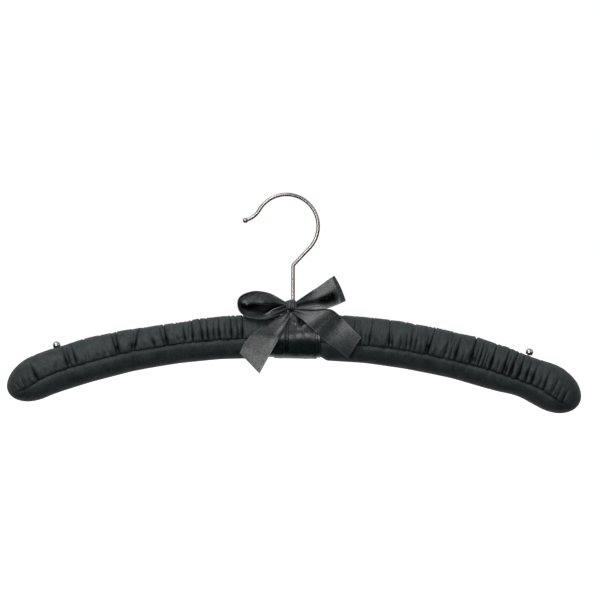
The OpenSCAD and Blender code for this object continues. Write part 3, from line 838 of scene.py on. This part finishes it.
def tailRightPaintedShade(u, v):
    upperEdge = 1.5 * mm * (1 - smooth(v / 0.1)) * hump(u, 0.45, 0.2)
    return 1.35 * mm * hump(u - 0.56 + 0.2 * v, 0, 0.1) + upperEdge


def tailLeftPaintedShade(u, v):
    return 1.6 * mm * (1 - smooth(v / 0.22)) * (1 - smooth((u - 0.34) / 0.16))


folds = {
    "LoopLeft": loopLeftFold, "LoopRight": loopRightFold,
    "TailLeft": tailLeftFold, "TailRight": tailRightFold,
}


paintedShades = {
    "LoopLeft": loopLeftPaintedShade, "LoopRight": loopRightPaintedShade,
    "TailLeft": tailLeftPaintedShade, "TailRight": tailRightPaintedShade,
}


def edgeLength(points):
    spots = [curvePoint(points, i / 60) for i in range(61)]
    return sum((b - a).length for a, b in zip(spots, spots[1:]))


def bowRibbon(part):
    near, far = ([Vector(p) * mm for p in edge] for edge in bowEdges[part])
    fold = folds[part]
    length = (edgeLength(near) + edgeLength(far)) / 2

    def where(u, v):
        a, b = curvePoint(near, u), curvePoint(far, u)
        ahead = curvePoint(near, u + 0.01) + curvePoint(far, u + 0.01)
        behind = curvePoint(near, u - 0.01) + curvePoint(far, u - 0.01)
        face = (ahead - behind).cross(b - a).normalized()
        return place(a.lerp(b, v) + face * fold(u, v), tilted=False)

    piece = gridSheet("bow" + part, bow["columns"], bow["rows"], where, (length, bow["width"]),
                      paintedShade=paintedShades[part])
    thicken(piece, bow["thickness"])
    finish(piece, ribbonSatin, [cadOf[part]])
    print(part, "is cut", round(length / mm), "mm long")
    return piece


for part in folds:
    bowRibbon(part)
print("bow made")


knot = {
    "centre": Vector((-1.3, -6.5, 23.6)) * mm,
    "halfWidth": 4.6 * mm, "halfDepth": 2.7 * mm, "halfHeight": 4.7 * mm,
    "folds": ((0.2, 0.3, 0.05), (0.48, 0.34, 0.035), (0.62, 0.22, 0.04), (0.86, 0.26, 0.05)),
    "thickness": 0.35 * mm,
}
shankTurn = {"inner": 2.15 * mm, "outer": 2.9 * mm, "halfHeight": 2.9 * mm, "thickness": 0.35 * mm}


def knotBand():
    # the strip that gathers the bow, with folds running over it from top to bottom
    def where(u, v):
        angle = 2 * math.pi * u
        side = 2 * v - 1
        swell = 0.62 + 0.38 * max(0, 1 - abs(side) ** 3)
        for across, depth, width in knot["folds"]:
            swell -= depth * 0.5 * math.exp(-abs(v - across - 0.03 * math.sin(angle)) / width)
        squareness = abs(math.cos(angle)) ** 3 + abs(math.sin(angle)) ** 3
        swell /= squareness ** (1 / 3)
        point = Vector((knot["halfWidth"] * side * (1 - 0.12 * abs(math.cos(angle))),
                        -knot["halfDepth"] * swell * math.cos(angle),
                        knot["halfHeight"] * swell * math.sin(angle)))
        return place(knot["centre"] + point, tilted=False)

    piece = gridSheet("bowKnot", 90, 60, where, (0.026, 0.012), closed=True)
    thicken(piece, knot["thickness"], offset=-1)
    finish(piece, ribbonSatin, ["bow_knot"])


def turnBehindKnot():
    def where(u, v):
        angle = 2 * math.pi * u
        swell = math.sin(math.pi * v) ** 0.5 + 0.25 * math.sin(9 * math.pi * v + math.sin(angle))
        r = shankTurn["inner"] + (shankTurn["outer"] - shankTurn["inner"]) * min(max(swell, 0.2), 1)
        rise = knot["centre"].z + shankTurn["halfHeight"] * (2 * v - 1)
        return place(Vector((r * math.sin(angle), -r * math.cos(angle), rise)), tilted=False)

    piece = gridSheet("shankTurn", 64, 30, where, (0.017, 0.008), closed=True)
    thicken(piece, shankTurn["thickness"], offset=-1)
    finish(piece, ribbonSatin, ["shank_turn"])


knotBand()
turnBehindKnot()
print("knot tied")


# ---- what stays as it was cut

asCut = {
    "hook": hookNickel, "stop_collar": fittingSteel, "thrust_washer": fittingSteel, "swivel_bush": bushBrass,
    "strap_stud_left": studChrome, "strap_stud_right": studChrome,
    "wooden_core": woodBeech, "joining_stitches": blackThread,
}
for name, material in asCut.items():
    nodes[name].data.materials.clear()
    nodes[name].data.materials.append(material)
print("metal and wood finished")


# ---- studio

studio = {
    "distance": 2.6, "frameWidth": 0.4488, "aim": (0.0101, 0, -0.0775), "elevation": 1.5,
    "floor": -0.42, "floorSide": 16,
    "above": 0.42, "below": 0.01, "behind": 0.75, "glow": 1.05,
    "lamps": (("key", (-0.7, -1.0, 1.45), 1.1, 15), ("front", (-0.6, -2.3, 0.1), 1.0, 19),
              ("side", (1.4, -1.3, 0.6), 1.2, 3)),
}


def makeStudio():
    side = studio["floorSide"]
    floor = gridSheet("floor", 4, 4, lambda u, v: Vector((u - 0.5, v - 0.5, 0)) * side, (side, side))
    floor.data.transform(Matrix.Translation((0, 0, studio["floor"])))
    floor.visible_glossy = floor.visible_diffuse = False       # the hanger hangs well clear of it
    material, tree, shader = newMaterial("paleFloor")
    shader.inputs["Base Color"].default_value = (0.5, 0.5, 0.5, 1)
    shader.inputs["Roughness"].default_value = 0.9
    shader.inputs["Emission Color"].default_value = (1, 1, 1, 1)
    shader.inputs["Emission Strength"].default_value = 0.9
    floor.data.materials.append(material)

    # a room that is pale behind, softly bright above and dark below the front; the camera sees plain white
    world = bpy.data.worlds.new("studio")
    world.use_nodes = True
    tree = world.node_tree
    background = tree.nodes["Background"]
    way = addNode(tree, "ShaderNodeSeparateXYZ")
    tree.links.new(addNode(tree, "ShaderNodeTexCoord").outputs["Generated"], way.inputs["Vector"])
    upward = spread(tree, way.outputs["Z"], studio["below"], studio["above"], -0.15, 0.75)
    backward = spread(tree, way.outputs["Y"], 0.0, studio["behind"], 0.15, 0.6)
    room = combine(tree, "MAXIMUM", upward, backward)
    cameraRay = addNode(tree, "ShaderNodeLightPath").outputs["Is Camera Ray"]
    seen = combine(tree, "MULTIPLY", cameraRay, studio["glow"])
    tree.links.new(combine(tree, "MAXIMUM", room, seen), background.inputs["Strength"])
    background.inputs["Color"].default_value = (0.97, 0.99, 1, 1)
    scene.world = world

    for name, stand, size, power in studio["lamps"]:
        light = bpy.data.lights.new(name, "AREA")
        light.shape, light.size, light.energy = "SQUARE", size, power
        lamp = bpy.data.objects.new(name, light)
        lamp.location = stand
        lamp.rotation_euler = (Vector((0, 0, -0.1)) - Vector(stand)).to_track_quat("-Z", "Y").to_euler()
        scene.collection.objects.link(lamp)

    camera = bpy.data.cameras.new("camera")
    camera.sensor_width = 36
    camera.lens = 36 * studio["distance"] / studio["frameWidth"]
    camera.clip_end = 50
    viewer = bpy.data.objects.new("camera", camera)
    rise = math.radians(studio["elevation"])
    back = Vector((0, -math.cos(rise), math.sin(rise)))
    viewer.location = Vector(studio["aim"]) + back * studio["distance"]
    viewer.rotation_euler = (-back).to_track_quat("-Z", "Y").to_euler()
    scene.collection.objects.link(viewer)
    scene.camera = viewer
    scene.view_settings.view_transform = "Standard"


makeStudio()
print("studio made")
